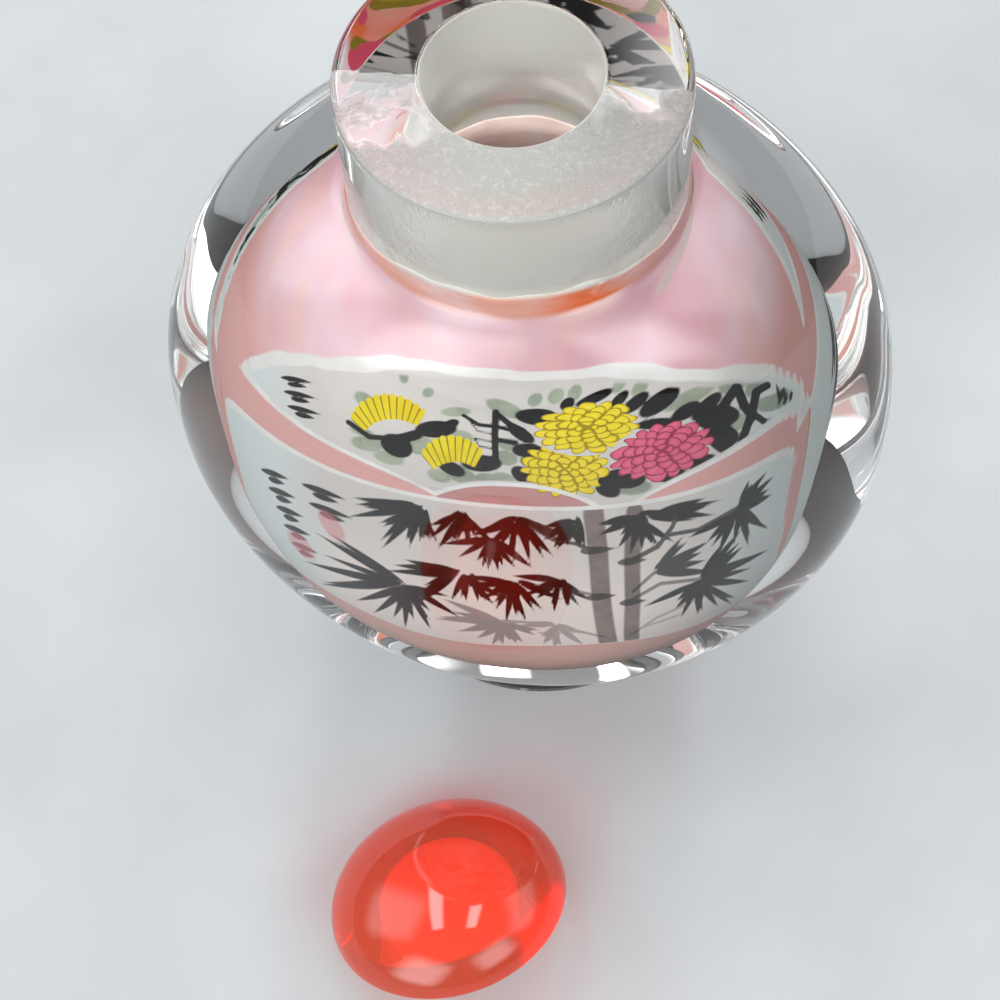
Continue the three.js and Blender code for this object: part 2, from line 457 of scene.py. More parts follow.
# Place on the wall, first and last direction, number of leaves, their length, and tone where it isn't 1.
SPRAYS = (
    ((-5.6, 35.6), 178, 222, 8, 4.8), ((-5.4, 35.4), 235, 295, 7, 3.8), ((-2.8, 35.7), 195, 330, 10, 3.4),
    ((0.8, 35.6), 192, 345, 12, 3.8), ((-1.0, 32.6), 185, 330, 9, 3.4), ((4.4, 35.6), 196, 300, 8, 3.0),
    ((8.4, 35.0), 188, 352, 12, 3.4), ((9.2, 34.6), 350, 375, 6, 4.2), ((15.6, 31.2), 15, 80, 7, 3.2),
    ((15.6, 31.2), 205, 335, 9, 3.9), ((-7.7, 23.4), 150, 190, 8, 6.0), ((-7.5, 23.2), 205, 348, 11, 4.3),
    ((-3.6, 27.4), 165, 212, 8, 4.8), ((-2.8, 27.2), 230, 330, 8, 3.2), ((0.3, 26.6), 178, 340, 12, 3.8),
    ((3.4, 27.4), 180, 330, 9, 3.0), ((9.8, 26.8), 0, 55, 9, 3.8, 0.95), ((13.2, 23.5), 0, 60, 9, 4.6),
    ((13.0, 23.2), 200, 335, 10, 3.8), ((-0.8, 20.0), 170, 200, 7, 4.4, 0.6),
    ((-0.6, 19.8), 215, 350, 9, 2.8, 0.6), ((3.0, 19.8), 185, 340, 8, 2.6, 0.5),
)
# Places on the wall, width and tone.
TWIGS = (
    ([(8.3, 29.3), (9.9, 30.4), (10.8, 32.6), (11.0, 34.2)], 0.26, 0.9),
    ([(10.6, 31.6), (12.6, 31.0), (15.6, 31.4)], 0.22, 0.9),
    ([(5.8, 31.2), (4.4, 32.4), (3.0, 33.0), (1.6, 34.8)], 0.18, 0.9),
    ([(8.3, 23.2), (10.2, 24.8), (13.2, 23.6)], 0.2, 0.7), ([(8.3, 24.4), (9.8, 26.8)], 0.2, 0.7),
    ([(6.1, 24.4), (4.0, 25.6), (0.8, 26.6)], 0.16, 0.7),
    ([(6.3, 17.2), (4.6, 18.6), (2.0, 20.2), (-0.8, 20.2)], 0.16, 0.5),
    ([(4.6, 18.6), (1.8, 18.4)], 0.12, 0.4), ([(8.1, 16.8), (10.0, 19.2), (13.0, 20.4)], 0.14, 0.45),
    ([(8.9, 17.9), (11.6, 18.6)], 0.12, 0.4),
)
# Places on the wall and width of each culm, and x, z and half-length of each joint.
CULMS = (
    ([(5.6, 36.0), (5.95, 31.0), (6.15, 24.0), (6.5, 16.4)], 1.3),
    ([(8.2, 35.4), (8.2, 29.0), (8.3, 22.8), (8.15, 16.2)], 1.05),
)
JOINTS = ((5.95, 31.3, 1.2), (6.15, 24.3, 1.1), (8.2, 29.2, 1.0), (8.3, 22.9, 0.95))


def add_bamboo(layers, dice):
    for places, width in CULMS:
        layers.trace("culm", places, width)
    for x, z, reach in JOINTS:
        layers.mark("ink", leaf, (x - reach, z - 0.1), 7, 2 * reach, 0.42, tone=0.85)
    for spray in SPRAYS:
        add_spray(layers, dice, *spray)
    for places, width, tone in TWIGS:
        layers.trace("ink", places, width, tone=tone)


# Leaves round the flowers, each an oval: x, z, angle, length, width. Branches as twigs, without a tone.
DARK_LEAVES = (
    (1.9, 44.5, -5, 2.5, 1.3), (3.5, 44.9, 70, 1.0, 0.8), (5.0, 44.75, 24, 2.3, 0.75),
    (6.5, 44.2, 48, 1.4, 0.65), (7.5, 43.7, 40, 1.9, 0.8), (9.0, 43.1, 36, 2.8, 1.15),
    (8.9, 42.2, 6, 2.5, 0.65), (10.8, 41.8, 30, 2.0, 0.9), (12.2, 41.2, 45, 2.4, 0.9),
    (13.0, 40.2, 5, 2.8, 1.5), (13.4, 39.0, -15, 2.4, 1.3), (13.8, 38.0, -25, 2.4, 0.8),
    (1.1, 43.5, -32, 1.9, 0.8), (1.5, 42.4, 2, 1.9, 0.9), (1.9, 41.5, -6, 1.7, 0.8),
    (1.2, 40.4, -24, 1.5, 0.9), (6.7, 39.2, 20, 2.2, 1.2), (7.8, 38.8, 12, 1.8, 0.8),
    (6.4, 38.4, -12, 1.6, 0.8), (10.2, 38.2, 8, 2.1, 0.7), (12.3, 38.0, 14, 1.8, 0.8),
    (-6.6, 41.1, -15, 2.0, 1.4), (-6.0, 41.9, 12, 2.4, 0.6), (-4.0, 43.1, 8, 2.6, 1.1),
    (-3.1, 43.6, 30, 1.2, 0.6), (-1.3, 41.2, 2, 2.6, 1.0), (-3.2, 40.4, -18, 1.8, 0.8),
)
PALE_LEAVES = (
    (0.1, 45.0, -30, 2.4, 1.2), (1.7, 45.4, 80, 1.1, 0.8), (2.8, 45.4, 85, 1.2, 0.9),
    (3.8, 45.3, 88, 1.2, 0.8), (6.4, 44.8, 62, 1.3, 0.7), (7.7, 44.2, 52, 1.4, 0.8),
    (10.9, 42.3, 26, 3.4, 0.9), (14.4, 40.8, 40, 2.8, 1.5), (16.4, 39.2, 50, 2.8, 1.1),
    (19.0, 36.4, 40, 2.0, 0.9), (17.4, 37.4, 10, 2.2, 1.1), (14.6, 38.8, 20, 1.8, 1.0),
    (0.4, 42.8, 0, 1.4, 0.8), (0.2, 41.8, -8, 1.5, 0.9), (0.2, 39.9, -15, 1.7, 0.7),
    (-2.6, 39.9, -10, 1.9, 0.9), (-1.0, 39.8, 0, 1.7, 0.7), (8.0, 38.1, 5, 2.2, 0.8),
    (11.9, 37.3, 8, 2.2, 0.7), (-2.4, 43.0, -15, 1.4, 0.8), (-2.7, 44.4, 10, 1.8, 0.7),
    (-4.3, 44.9, 50, 0.9, 0.6), (-8.5, 42.9, -35, 1.5, 0.9), (-5.8, 45.0, 85, 1.0, 0.6),
    (-8.9, 41.0, -10, 1.5, 0.5), (-8.6, 40.3, -5, 2.0, 0.9), (-7.2, 39.9, -8, 1.9, 0.8),
    (-5.0, 41.7, 10, 1.7, 1.1), (-3.6, 42.6, 0, 1.2, 0.6), (-4.0, 39.5, -10, 1.5, 0.7),
)
BRANCHES = (
    ([(-9.8, 41.1), (-8.4, 40.9), (-6.8, 41.5), (-4.6, 42.9)], 0.34),
    ([(-2.3, 44.3), (-1.4, 43.9), (-0.3, 43.9), (1.0, 43.6)], 0.26),
    ([(-0.4, 44.8), (-0.45, 43.2), (-0.4, 41.4)], 0.42), ([(-0.4, 44.7), (0.4, 44.1), (1.2, 43.7)], 0.4),
    ([(-0.5, 43.1), (0.8, 42.9)], 0.3), ([(-0.5, 43.9), (-1.9, 44.0), (-1.5, 43.5), (-0.5, 43.4)], 0.12),
    ([(-0.5, 42.9), (-1.7, 43.0), (-1.4, 42.5), (-0.5, 42.4)], 0.12),
    ([(13.2, 40.4), (14.4, 40.5), (15.0, 39.3), (15.7, 38.3)], 0.62),
    ([(15.6, 38.1), (16.0, 39.1), (17.2, 38.4), (18.2, 37.6), (18.4, 36.6), (20.0, 35.4)], 0.55),
    ([(15.7, 38.4), (16.9, 36.9), (19.0, 35.3)], 0.42), ([(15.6, 38.3), (15.0, 37.2), (14.2, 37.3)], 0.55),
)


# Flower heads seen from the side, as fans of petals: point that the petals leave, as drawn, direction of
# the middle petal, half the spread, nearest and farthest reach, number of petals.
SIDE_FLOWERS = (((-8.0, 7.4), 100, 40, 2.6, 4.3, 11), ((-4.4, 5.4), 96, 36, 2.2, 3.9, 9))


def add_flowers(layers):
    """Leaves and twigs round the flower heads, and the two striped flowers seen from the side."""
    for x, z, angle, length, width in DARK_LEAVES:
        layers.mark("ink", blob, (x, z), angle, length, width)
    for x, z, angle, length, width in PALE_LEAVES:
        layers.mark("wash", blob, (x, z), angle, length, width)
    for places, width in BRANCHES:
        layers.trace("ink", places, width)
    for flower in SIDE_FLOWERS:
        add_side_flower(layers, *flower)


def add_side_flower(layers, point, middle, spread, near, far, petals):
    """A fan of petals with round tips, and a count that rises by one from petal to petal."""
    petal_lean, tip_roundness, side_droop = 0.12, 0.9, 0.5
    right, up = layers.right - point[0], layers.up - point[1]
    reach = np.hypot(right, up)
    turn = np.degrees(np.arctan2(up, right)) - middle
    count = (turn + spread) / (2 * spread) * petals + petal_lean * (reach - near)
    tip = far - tip_roundness * (np.abs(np.mod(count, 1) - 0.5)) ** 2 - side_droop * (turn / spread) ** 2
    past_side = (np.abs(turn) - spread) * reach * math.pi / 180
    edge = np.maximum.reduce([reach - tip, near - reach, past_side])
    layers.stripe = np.where(edge < layers.distance["striped"], count, layers.stripe)
    layers.add("striped", edge)


# Rows of strokes: place of the first on the wall, then as drawn: step down, length, how many.
WRITING = (((-13.7, 40.9), 1.05, 2.2, 3), ((-12.4, 33.8), 1.0, 2.8, 2), ((-16.8, 31.6), 1.0, 1.7, 5))
SEALS = ((-12.4, 28.8), (-15.8, 22.6))


def add_writing(layers):
    """Rows of plain short strokes where an inscription stands, and two blank seals."""
    slope, stroke_width = -12, 0.36
    for place, step, size, rows in WRITING:
        right, up = drawn(*place)
        for row in range(rows):
            for along, down, share in ((-0.5, 0, 1.0), (-0.3, 0.45, 0.6)):
                start = (right + along * size + 0.2 * row, up - step * (row + down))
                stroke = leaf(layers.right, layers.up, start, slope, share * size, stroke_width)
                layers.add("ink", stroke, 1.0)
    for place in SEALS:
        layers.mark("seal", blob, place, -50, 1.9, 1.1)


def add_back_spray(layers, dice):
    """Flowers and leaves that hang over the back's shoulder, where the neck's glass shows them."""
    for _ in range(46):
        kind = dice.choice(("ink", "ink", "bloom", "bloom", "wash", "striped"))
        place = (dice.uniform(-9, 9), dice.uniform(45.6, 50.2))
        angle, length, width = dice.uniform(0, 180), dice.uniform(1.0, 2.2), dice.uniform(0.6, 1.3)
        layers.add(kind, blob(layers.x, layers.z, place, angle, length, width), 1.0)


def paint_columns():
    """Directions round the lining: close together across the front picture."""
    half_width = CAVITY["half_width"]
    picture_half_width = 15.2
    step = math.acos(picture_half_width / half_width)
    front = np.linspace(-math.pi + step, -step, 256)
    left = np.linspace(-math.pi, -math.pi + step, 7)[:-1]
    right = np.linspace(-step, 0, 7)[1:-1]
    back = np.linspace(0, math.pi, 91)[:-1]
    turn = np.concatenate([left, front, right, back])
    return np.arctan2(CAVITY["half_depth"] * np.sin(turn), half_width * np.cos(turn))


def paint_levels(angles):
    """Levels up the lining, close together where the pictures are. Its top edge is painted unevenly."""
    floor_to, bamboo_from, flowers_from, shoulder_from = 13.6, 13.8, 37, 46.8
    picture = np.concatenate([
        cavity_floor_levels(floor_to, 16), np.arange(bamboo_from, flowers_from, 0.175),
        np.arange(flowers_from, shoulder_from - 0.2, 0.125)])
    middle, swing = (PAINT_TOP[0] + PAINT_TOP[1]) / 2, (PAINT_TOP[0] - PAINT_TOP[1]) / 2
    top = middle - swing * np.sin(angles) + 0.18 * np.sin(5 * angles) + 0.1 * np.sin(13 * angles + 1)
    share = np.linspace(0, 1, 15)[:, None]
    throat = shoulder_from + share * (top - shoulder_from)
    below = np.broadcast_to(picture[:, None], (len(picture), len(angles)))
    return np.concatenate([below, throat])


def make_lining():
    """The layer of paint on the inside of the glass, as one thin closed shell."""
    angles = paint_columns()
    levels = paint_levels(angles)
    wall = inner_wall(levels, angles)
    normals = grid_normals(wall)
    outside = wall + PAINT_OUTSIDE * normals
    inner_rows = np.unique(np.concatenate([np.arange(0, len(levels), 12), [len(levels) - 1]]))
    inside = (wall - PAINT_INSIDE * normals)[inner_rows][::-1]
    floor = CAVITY["centre"] - CAVITY["half_height"]
    rings = np.concatenate([outside, inside])
    lining = closed_loft(
        "painted_lining", rings, (CAVITY_OFFSET, 0, floor - PAINT_OUTSIDE),
        (CAVITY_OFFSET, 0, floor + PAINT_INSIDE),
        lambda row: 0 if row < len(levels) - 1 else 1)
    draw_picture(lining, outside)
    lining.data.materials.append(paint())
    lining.data.materials.append(paint_reverse())
    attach(lining, "root")
    return lining


def length_round(x, y, z):
    """Length along the wall from the middle of the front or the back, so that pictures bend round it."""
    share = np.clip(np.abs(z - CAVITY["centre"]) / CAVITY["half_height"], 0, 0.93)
    width = breadth(share, CAVITY["front"])
    depth = breadth(share, CAVITY["side"])
    across = x - CAVITY_OFFSET
    turn = np.arctan2(
        np.abs(across) / (CAVITY["half_width"] * width), np.abs(y) / (CAVITY["half_depth"] * depth))
    turns = np.linspace(0, math.pi / 2, 400)
    steps = np.hypot(CAVITY["half_width"] * np.cos(turns), CAVITY["half_depth"] * np.sin(turns))
    lengths = np.concatenate([[0], np.cumsum((steps[1:] + steps[:-1]) / 2 * np.diff(turns))])
    return CAVITY_OFFSET + np.sign(across) * width * np.interp(turn, turns, lengths)


def draw_picture(lining, outside):
    """Writes each kind of paint's distance on the lining's outer points."""
    x, y, z = (outside[..., axis] for axis in range(3))
    reach = length_round(x, y, z)
    front, back = Layers(reach, z), Layers(-reach, z)
    for layers, seed in ((front, 11), (back, 23)):
        flower_limit, bamboo_limit = add_panels(layers)
        layers.limit = bamboo_limit
        add_bamboo(layers, random.Random(seed))
        layers.limit = flower_limit
        add_flowers(layers)
        layers.limit = None
        add_writing(layers)
    add_back_spray(back, random.Random(5))
    for kind in Layers.KINDS:
        store(lining, kind, np.where(y < 0, front.distance[kind], back.distance[kind]), Layers.FAR)
    for name, elsewhere in (("tone", 1.0), ("stripe", 0.0), ("right", Layers.FAR), ("up", 0.0)):
        store(lining, name, np.where(y < 0, getattr(front, name), getattr(back, name)), elsewhere)


def store(piece, name, values, elsewhere):
    """Writes values on the lining's outer points, which follow its first pole."""
    attribute = piece.data.attributes.new(name, "FLOAT", "POINT")
    everywhere = np.full(len(piece.data.vertices), elsewhere, np.float32)
    everywhere[1:1 + values.size] = values.ravel()
    attribute.data.foreach_set("value", everywhere)


# ---- Materials ---------------------------------------------------------------
class Tree:
    """The nodes of a material or the world, with one short call for each kind of node."""

    def __init__(self, name, of_world=False):
        self.owner = bpy.data.worlds.new(name) if of_world else bpy.data.materials.new(name)
        self.owner.use_nodes = True
        self.nodes = self.owner.node_tree.nodes
        self.links = self.owner.node_tree.links
        self.shader = self.nodes["Background" if of_world else "Principled BSDF"]
        self.output = self.nodes["World Output" if of_world else "Material Output"]

    def add(self, kind, inputs=None, **settings):
        node = self.nodes.new(kind)
        for name, value in settings.items():
            setattr(node, name, value)
        for name, value in (inputs or {}).items():
            self.give(node.inputs[name], value)
        return node

    def give(self, socket, value):
        """Links another node's output to a socket, or sets its value. A colour may be a #rrggbb code."""
        if isinstance(value, bpy.types.NodeSocket):
            self.links.new(value, socket)
        elif value is not None:
            socket.default_value = srgb(value) if isinstance(value, str) else value

    def math(self, operation, first, second=None, third=None, clamp=False):
        values = {0: first, 1: second, 2: third}
        return self.add("ShaderNodeMath", values, operation=operation, use_clamp=clamp).outputs[0]

    def vector(self, operation, first, second=None, scale=None):
        values = {0: first, 1: second}
        if scale is not None:
            values["Scale"] = scale
        node = self.add("ShaderNodeVectorMath", values, operation=operation)
        return node.outputs["Value" if operation in ("LENGTH", "DOT_PRODUCT") else "Vector"]

    def place(self):
        """The point on the piece, in metres in the object's frame."""
        return self.add("ShaderNodeTexCoord").outputs["Object"]

    def parts(self, vector=None):
        """The x, y and z of a vector, or of the point on the piece."""
        return self.add("ShaderNodeSeparateXYZ", {0: vector or self.place()}).outputs

    def times(self, first, second):
        return self.math("MULTIPLY", first, second)

    def noise(self, scale, detail=3.0, roughness=0.5, vector=None, distortion=0.0):
        inputs = {"Scale": scale, "Detail": detail, "Roughness": roughness, "Distortion": distortion}
        return self.add("ShaderNodeTexNoise", {**inputs, "Vector": vector or self.place()}).outputs["Fac"]

    def ramp(self, value, low, high, bottom=0.0, top=1.0):
        """Smooth step of a value from `bottom` at `low` to `top` at `high`."""
        inputs = {"Value": value, "From Min": low, "From Max": high, "To Min": bottom, "To Max": top}
        return self.add("ShaderNodeMapRange", inputs, interpolation_type="SMOOTHSTEP").outputs["Result"]

    def mix(self, amount, under, over, kind="RGBA"):
        """Mix of two colours, or of two vectors."""
        first, second, result = (6, 7, 2) if kind == "RGBA" else (4, 5, 1)
        node = self.add("ShaderNodeMix", {"Factor": amount, first: under, second: over}, data_type=kind)
        return node.outputs[result]

    def attribute(self, name):
        return self.add("ShaderNodeAttribute", attribute_name=name).outputs["Fac"]

    def bump(self, height, distance, strength=1.0):
        inputs = {"Height": height, "Distance": distance, "Strength": strength}
        return self.add("ShaderNodeBump", inputs).outputs["Normal"]

    def set(self, **values):
        for name, value in values.items():
            self.give(self.shader.inputs[name.replace("_", " ")], value)


def clear_glass():
    tree = Tree("clear_glass")
    tree.set(Base_Color=(1, 1, 1, 1), Roughness=0.0, IOR=1.5, Transmission_Weight=1.0)
    return tree.owner


def rim_glass():
    """The front half of the flat top, frosted in patches with sparkling grains; its milky white is a painted
    reflection and its white specks are painted glints.
    """
    tree = Tree("rim_glass")
    clear_from, frosted_from, sway = -0.001, -0.0045, 0.02
    along = tree.parts()[1]
    grain = tree.noise(3200, 3, 0.8)
    patches = tree.noise(210, 3, 0.6)
    edge = tree.math("MULTIPLY_ADD", tree.math("SUBTRACT", patches, 0.5), sway, along)
    # The frosting fades out towards the back, so its milky white, a painted reflection, stays in front.
    frosted = tree.ramp(edge, clear_from, frosted_from)
    # White specks on the grains: painted glints.
    painted_glint_speck = tree.ramp(grain, 0.54, 0.62)
    colour = tree.mix(frosted, "#fdfefc", tree.mix(painted_glint_speck, "#dde3de", "#ffffff"))
    tree.set(Base_Color=colour, IOR=1.5, Transmission_Weight=0.8)
    tree.set(Coat_Weight=0.25, Coat_Roughness=0.35, Coat_IOR=2.0)
    tree.set(Roughness=tree.math("MULTIPLY_ADD", frosted, 0.26, 0.02))
    bumped = tree.bump(grain, 0.0003, tree.math("MULTIPLY_ADD", frosted, 0.97, 0.0))
    tree.set(Normal=bumped, Coat_Normal=bumped)
    return tree.owner


def ground_glass():
    """The bore, left rough by the drill: pale in front, painted darker behind as painted shade, and coarser
    towards its lower end.
    """
    tree = Tree("ground_glass")
    _, along, up = tree.parts()
    grain = tree.noise(2600, 4, 0.7)
    coarse = tree.noise(900, 2, 0.6)
    coarseness = tree.ramp(up, 59.0 * MM, 55.5 * MM, 0.2, 1.2)
    height = tree.math("MULTIPLY_ADD", coarse, coarseness, grain)
    # Darker on the far side of the bore: painted shade.
    behind = tree.ramp(along, -0.002, 0.003)
    tree.set(Base_Color=tree.mix(behind, "#eaeee4", "#c4c2b8"))
    tree.set(Roughness=0.36, IOR=1.5, Transmission_Weight=0.5)
    tree.set(Normal=tree.bump(height, 0.00006, 0.7))
    return tree.owner


def paint():
    """The picture as seen through the glass: ground, panels, leaves, flower heads and outlines."""
    tree = Tree("inside_paint")
    x, y, z = tree.parts()
    height = tree.times(z, 1000)
    across = tree.times(x, 1000)
    soft = tree.noise(90, 3, 0.55)
    fine = tree.noise(420, 4, 0.6)
    colour = pink_ground(tree, x, y, height, soft)
    side = tree.math("ABSOLUTE", across)

    cream = tree.mix(tree.ramp(height, 37, 20), "#dcd7d1", "#fbf0e8")
    cream = tree.mix(tree.ramp(fine, 0.3, 0.75, 0, 0.3), cream, "#ece8e3")
    # Paler and bluer towards both sides of the panels: painted shading where the wall turns away.
    cream = tree.mix(tree.ramp(side, 11.0, 15.0), cream, "#e4eeec")
    colour = tree.mix(covered(tree, "panel", 0.06), colour, cream)
    colour = tree.mix(covered(tree, "arch", 0.06), colour, "#cf9693")

    culm = tree.mix(tree.ramp(fine, 0.35, 0.65), "#6a5a54", "#85756d")
    colour = tree.mix(tree.times(covered(tree, "culm", 0.1), 0.9), colour, culm)
    wash = tree.mix(tree.ramp(fine, 0.3, 0.7), "#76876f", "#a6b597")
    colour = tree.mix(tree.times(covered(tree, "wash", 0.08), 0.8), colour, wash)
    tone = tree.attribute("tone")
    inked = tree.times(covered(tree, "ink", 0.05), tone)
    dark = tree.mix(tree.ramp(soft, 0.45, 0.62), "#080607", "#17110f")
    colour = tree.mix(inked, colour, dark)
    colour = side_flowers(tree, colour, fine)
    colour = flower_heads(tree, colour, y, fine)
    colour = tree.mix(covered(tree, "bloom", 0.08), colour, "#dc4c66")
    outline = tree.mix(tree.ramp(fine, 0.3, 0.7), "#eeece7", "#fbfaf6")
    colour = tree.mix(covered(tree, "outline", 0.05), colour, outline)
    colour = tree.mix(tree.times(covered(tree, "seal", 0.12), 0.55), colour, "#e2858c")
    tree.set(Base_Color=colour, Roughness=0.9, Specular_IOR_Level=0.0)
    return tree.owner


def pink_ground(tree, x, y, height, soft):
    """Pink with pale clouds, salmon lower down and orange round the throat."""
    cloud = tree.ramp(soft, 0.36, 0.64)
    colour = tree.mix(cloud, "#ecb6c1", "#f8dbe1")
    streak = tree.noise(160, 2, 0.5, distortion=0.8)
    colour = tree.mix(tree.ramp(streak, 0.52, 0.68, 0, 0.5), colour, "#f7c3b8")
    colour = tree.mix(tree.ramp(height, 42, 38), colour, "#ecb3ad")
    colour = tree.mix(tree.ramp(height, 17, 12), colour, "#f2c4b6")
    slope = (PAINT_TOP[0] - PAINT_TOP[1]) / (2 * BORE_FOOT_RADIUS)
    to_top = tree.math("MULTIPLY_ADD", y, 1000 * slope, tree.math("SUBTRACT", height, sum(PAINT_TOP) / 2))
    collar = tree.times(tree.ramp(to_top, -4.8, -3.0), tree.ramp(streak, 0.3, 0.6, 0.35, 0.9))
    colour = tree.mix(collar, colour, "#e8a28a")
    front = tree.times(tree.ramp(y, -0.004, -0.006), tree.ramp(x, 0.001, 0.004))
    behind = tree.times(tree.ramp(y, -0.002, 0.002), tree.ramp(soft, 0.46, 0.54))
    patch = tree.times(tree.ramp(to_top, -4.2, -2.8), tree.math("MAXIMUM", front, behind))
    colour = tree.mix(patch, colour, "#f4733c")
    return tree.mix(tree.ramp(to_top, -0.6, 0.0), colour, "#d8dacf")


def covered(tree, kind, softness):
    """1 inside the marks of one kind of paint and 0 outside, over a soft edge in millimetres."""
    return tree.ramp(tree.attribute(kind), softness, -softness)


def side_flowers(tree, colour, fine):
    """The flowers seen from the side: long petals beside each other, with a thin dark line between."""
    share = tree.math("FRACT", tree.attribute("stripe"))
    gap = tree.math("ABSOLUTE", tree.math("SUBTRACT", share, 0.5))
    petals = tree.mix(tree.ramp(fine, 0.3, 0.7), "#ecd106", "#f8e417")
    petals = tree.mix(tree.ramp(gap, 0.36, 0.46), petals, "#8f780c")
    return tree.mix(covered(tree, "striped", 0.05), colour, petals)


# Flower heads as drawn: face (-1 front, 1 back), middle, half-sizes, tilt, petal and outline colours.
FLOWER_HEADS = (
    (-1, (2.3, 7.55), (2.75, 1.65), 0, "#fbe20c", "#a98f0c"),
    (-1, (3.45, 10.15), (3.15, 1.7), 5, "#fde60e", "#a98f0c"),
    (-1, (8.0, 8.7), (3.1, 1.7), 12, "#f0668a", "#a3304f"),
    (1, (2.3, 7.55), (2.75, 1.65), 0, "#f0668a", "#a3304f"),
    (1, (3.45, 10.15), (3.15, 1.7), 5, "#e8506f", "#8c2038"),
    (1, (8.0, 8.7), (3.1, 1.7), 12, "#fde60e", "#a98f0c"),
)
# Rings of petals from the outside in: how far they reach, how many there are, and their turn.
PETAL_RINGS = ((1.0, 15, 0.1), (0.82, 12, 0.55), (0.62, 9, 0.2), (0.42, 6, 0.7), (0.22, 4, 0.35))


def flower_heads(tree, colour, y, fine):
    """Chrysanthemum heads, of which the last one in the list lies on top."""
    right, up = tree.attribute("right"), tree.attribute("up")
    flat, petal, edge, here = None, None, None, 0.0
    for face, middle, half_sizes, tilt, petal_code, edge_code in FLOWER_HEADS:
        place = in_head(tree, right, up, middle, half_sizes, tilt)
        near_face = tree.math("LESS_THAN" if face < 0 else "GREATER_THAN", y, 0.0)
        reach = tree.vector("LENGTH", place)
        inside = tree.times(tree.math("LESS_THAN", reach, 1.04), near_face)
        flat = tree.mix(inside, flat or (0, 0, 0), place, "VECTOR")
        petal = tree.mix(inside, petal or "#000000", petal_code)
        edge = tree.mix(inside, edge or "#000000", edge_code)
        here = tree.math("MAXIMUM", here, inside)
    gap, inside = petal_rings(tree, flat)
    petal = tree.mix(tree.ramp(gap, 0.05, 0.3, 0, 0.16), petal, "#ffffff")
    petal = tree.mix(tree.ramp(fine, 0.3, 0.7, 0, 0.12), petal, edge)
    body = tree.mix(tree.ramp(gap, 0.055, 0.02), petal, edge)
    return tree.mix(tree.times(inside, here), colour, body)


def in_head(tree, right, up, middle, half_sizes, tilt):
    """Place in a flower head, with its edge at 1."""
    turn = math.radians(tilt)
    right = tree.math("SUBTRACT", right, middle[0])
    up = tree.math("SUBTRACT", up, middle[1])
    along = tree.math("ADD", tree.times(right, math.cos(turn)), tree.times(up, math.sin(turn)))
    across = tree.math("SUBTRACT", tree.times(up, math.cos(turn)), tree.times(right, math.sin(turn)))
    return tree.add("ShaderNodeCombineXYZ", {
        0: tree.math("DIVIDE", along, half_sizes[0]),
        1: tree.math("DIVIDE", across, half_sizes[1])}).outputs[0]


def petal_rings(tree, flat):
    """Distance to the nearest petal's edge, and 1 inside the outermost petals."""
    x, y, _ = tree.parts(flat)
    reach = tree.vector("LENGTH", flat)
    sway = tree.noise(700, 1, 0.5)
    turn = tree.math("MULTIPLY_ADD", sway, 0.5, tree.math("ARCTAN2", y, x))
    reach = tree.math("MULTIPLY_ADD", tree.math("SUBTRACT", sway, 0.5), 0.25, reach)
    gap, inside = None, None
    for far, count, start in PETAL_RINGS:
        share = tree.math("FRACT", tree.math("MULTIPLY_ADD", turn, count / FULL_TURN, start + count))
        offset = tree.math("ABSOLUTE", tree.math("SUBTRACT", share, 0.5))
        tip = tree.math("MULTIPLY_ADD", tree.math("POWER", offset, 2.0), -0.8 * far, far)
        to_tip = tree.math("SUBTRACT", tip, reach)
        to_side = tree.times(tree.math("SUBTRACT", 0.5, offset), tree.times(reach, FULL_TURN / count))
        nearest = tree.math("MINIMUM", to_tip, to_side)
        on_petal = tree.math("GREATER_THAN", to_tip, 0.0)
        if gap is None:
            gap, inside = nearest, on_petal
        else:
            step = tree.times(on_petal, tree.math("SUBTRACT", nearest, gap))
            gap = tree.math("ADD", gap, step)
    return gap, inside


def paint_reverse():
    """The back of the paint, seen through the mouth: dull pink with brush marks."""
    tree = Tree("paint_reverse")
    marks = tree.ramp(tree.noise(160, 4, 0.6), 0.35, 0.65)
    colour = tree.mix(marks, "#dcc2ba", "#efdcd4")
    tree.set(Base_Color=colour, Roughness=0.85, Specular_IOR_Level=0.2)
    return tree.owner


def red_glass():
    """Red glass that turns orange where it is thin, because it takes out blue faster than green."""
    tree = Tree("red_glass")
    tree.set(Base_Color=(1.0, 0.3, 0.14, 1), Roughness=0.02, IOR=1.47, Transmission_Weight=0.86)
    absorption = tree.add("ShaderNodeVolumeAbsorption", {"Color": (0.999, 0.72, 0.4, 1), "Density": 3000.0})
    tree.links.new(absorption.outputs[0], tree.output.inputs["Volume"])
    lets_light_through(tree)
    return tree.owner


def lets_light_through(tree):
    """Shadow rays pass the surface, so that light reaches what lies behind the glass."""
    shadow_ray = tree.add("ShaderNodeLightPath").outputs["Is Shadow Ray"]
    clear = tree.add("ShaderNodeBsdfTransparent", {"Color": (1, 1, 1, 1)})
    mixed = tree.add("ShaderNodeMixShader", {0: shadow_ray, 1: tree.shader.outputs[0], 2: clear.outputs[0]})
    tree.links.new(mixed.outputs[0], tree.output.inputs["Surface"])


def cork():
    tree = Tree("cork")
    grain = tree.noise(900, 5, 0.65)
    pits = tree.add("ShaderNodeTexVoronoi", {"Vector": tree.place(), "Scale": 1100.0}).outputs["Distance"]
    pitted = tree.ramp(pits, 0.22, 0.12)
    colour = tree.mix(tree.ramp(grain, 0.35, 0.65), "#c9a878", "#e2c89c")
    colour = tree.mix(tree.times(pitted, 0.6), colour, "#7a5836")
    rough = tree.math("MULTIPLY_ADD", pitted, -1.0, grain)
    tree.set(Base_Color=colour, Roughness=0.85, Normal=tree.bump(rough, 0.0001, 0.6))
    return tree.owner


def pale_glue():
    """The layer that holds the cork under the glass."""
    tree = Tree("pale_glue")
    tree.set(Base_Color="#fffaf4", Roughness=0.6)
    return tree.owner


